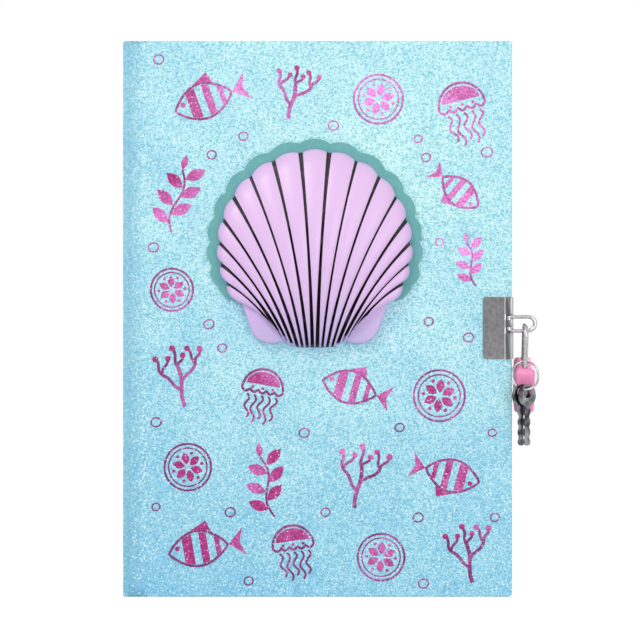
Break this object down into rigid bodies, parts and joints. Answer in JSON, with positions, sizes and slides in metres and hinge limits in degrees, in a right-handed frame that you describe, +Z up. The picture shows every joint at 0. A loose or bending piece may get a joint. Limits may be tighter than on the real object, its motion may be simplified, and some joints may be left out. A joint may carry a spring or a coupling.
{
  "type": "diary with padlock",
  "caption": "Standing hardback diary with a glittered cover, a moulded shell on its front, fore-edge clips with wire loops, and a small padlock with keys on a ring.",
  "frame": {"origin": "middle of the back board's foot, where the diary stands", "axes": "+Z up along the spine, +X from the spine to the fore edge, front cover facing -Y"},
  "size_m": [0.1571, 0.0385, 0.21],
  "materials": {
    "glitter_sheet": "glittered coated paper with pink foil print",
    "greyboard": "pressed greyboard",
    "paper": "uncoated ruled paper",
    "endpaper": "plain dyed endpaper",
    "lining_cloth": "woven cotton",
    "shell_plastic": "satin moulded plastic",
    "teal_card": "matt printed card",
    "plated_steel": "nickel plate",
    "pink_plastic": "glossy moulded plastic",
    "lock_metal": "bare pressed steel",
    "lock_brass": "machined brass"
  },
  "bodies": {
    "case": {"back_board": "greyboard", "back_sheet": "glitter_sheet", "back_pastedown": "endpaper", "spine_board": "greyboard", "spine_sheet": "glitter_sheet", "front_joint": "glitter_sheet", "back_joint": "glitter_sheet", "signature_1": "paper", "signature_2": "paper", "signature_3": "paper", "signature_4": "paper", "signature_5": "paper", "signature_6": "paper", "signature_7": "paper", "signature_8": "paper", "spine_lining": "lining_cloth", "head_band": "lining_cloth", "tail_band": "lining_cloth", "back_clip": "plated_steel"},
    "front_cover": {"front_board": "greyboard", "front_sheet": "glitter_sheet", "front_pastedown": "endpaper", "shell_card": "teal_card", "shell": "shell_plastic", "front_clip": "plated_steel"},
    "leaf": {"first_leaf": "paper"},
    "front_wire": {"front_loop": "plated_steel"},
    "back_wire": {"back_loop": "plated_steel"},
    "lock_shackle": {"shackle": "plated_steel"},
    "lock_body": {"padlock_jacket": "pink_plastic", "padlock_case": "lock_metal"},
    "lock_catch": {"spring_catch": "lock_metal"},
    "lock_plug": {"key_plug": "lock_brass"},
    "ring": {"key_ring": "plated_steel"},
    "first_key": {"key_1": "plated_steel"},
    "second_key": {"key_2": "plated_steel"}
  },
  "joints": [
    {"name": "cover_open", "type": "hinge", "parent": "case", "child": "front_cover", "pos_m": [-0.06745, -0.02115, 0.105], "axis": [0, 0, -1], "range_deg": [0, 170]},
    {"name": "leaf_turn", "type": "hinge", "parent": "case", "child": "leaf", "pos_m": [-0.063, -0.01765, 0.105], "axis": [0, 0, -1], "range_deg": [0, 85]},
    {"name": "front_loop_swing", "type": "hinge", "parent": "front_cover", "child": "front_wire", "pos_m": [0.0722, -0.02295, 0.10325], "axis": [0, 0, -1], "range_deg": [-8, 90]},
    {"name": "back_loop_swing", "type": "hinge", "parent": "case", "child": "back_wire", "pos_m": [0.0722, 0.0034, 0.10325], "axis": [0, 0, -1], "range_deg": [0, 175]},
    {"name": "padlock_swing", "type": "hinge", "parent": "front_wire", "child": "lock_shackle", "pos_m": [0.0784, -0.02295, 0.1006], "axis": [-1, 0, 0], "range_deg": [0, 80]},
    {"name": "padlock_release", "type": "slide", "parent": "lock_shackle", "child": "lock_body", "axis": [0, 0.4067, -0.9135], "range_m": [0, 0.005]},
    {"name": "catch_slide", "type": "slide", "parent": "lock_body", "child": "lock_catch", "axis": [0, -0.9135, -0.4067], "range_m": [0, 0.0015]},
    {"name": "plug_turn", "type": "hinge", "parent": "lock_body", "child": "lock_plug", "pos_m": [0.0784, -0.01048, 0.07506], "axis": [0, -0.4067, 0.9135], "range_deg": [0, 90]},
    {"name": "ring_swing", "type": "hinge", "parent": "lock_shackle", "child": "ring", "pos_m": [0.0784, -0.02048, 0.08903], "axis": [-1, 0, 0], "range_deg": [0, 60]},
    {"name": "key_1_swing", "type": "hinge", "parent": "ring", "child": "first_key", "pos_m": [0.0766, -0.02561, 0.07852], "axis": [-0.6428, 0.766, 0], "range_deg": [-8, 10]},
    {"name": "key_2_swing", "type": "hinge", "parent": "ring", "child": "second_key", "pos_m": [0.0788, -0.02561, 0.07852], "axis": [-0.6428, 0.766, 0], "range_deg": [-12, 4]}
  ],
  "couplings": [
    {"joint": "leaf_turn", "follows": "cover_open", "ratio": 0.5},
    {"joint": "catch_slide", "follows": "padlock_release", "ratio": 0.3}
  ]
}
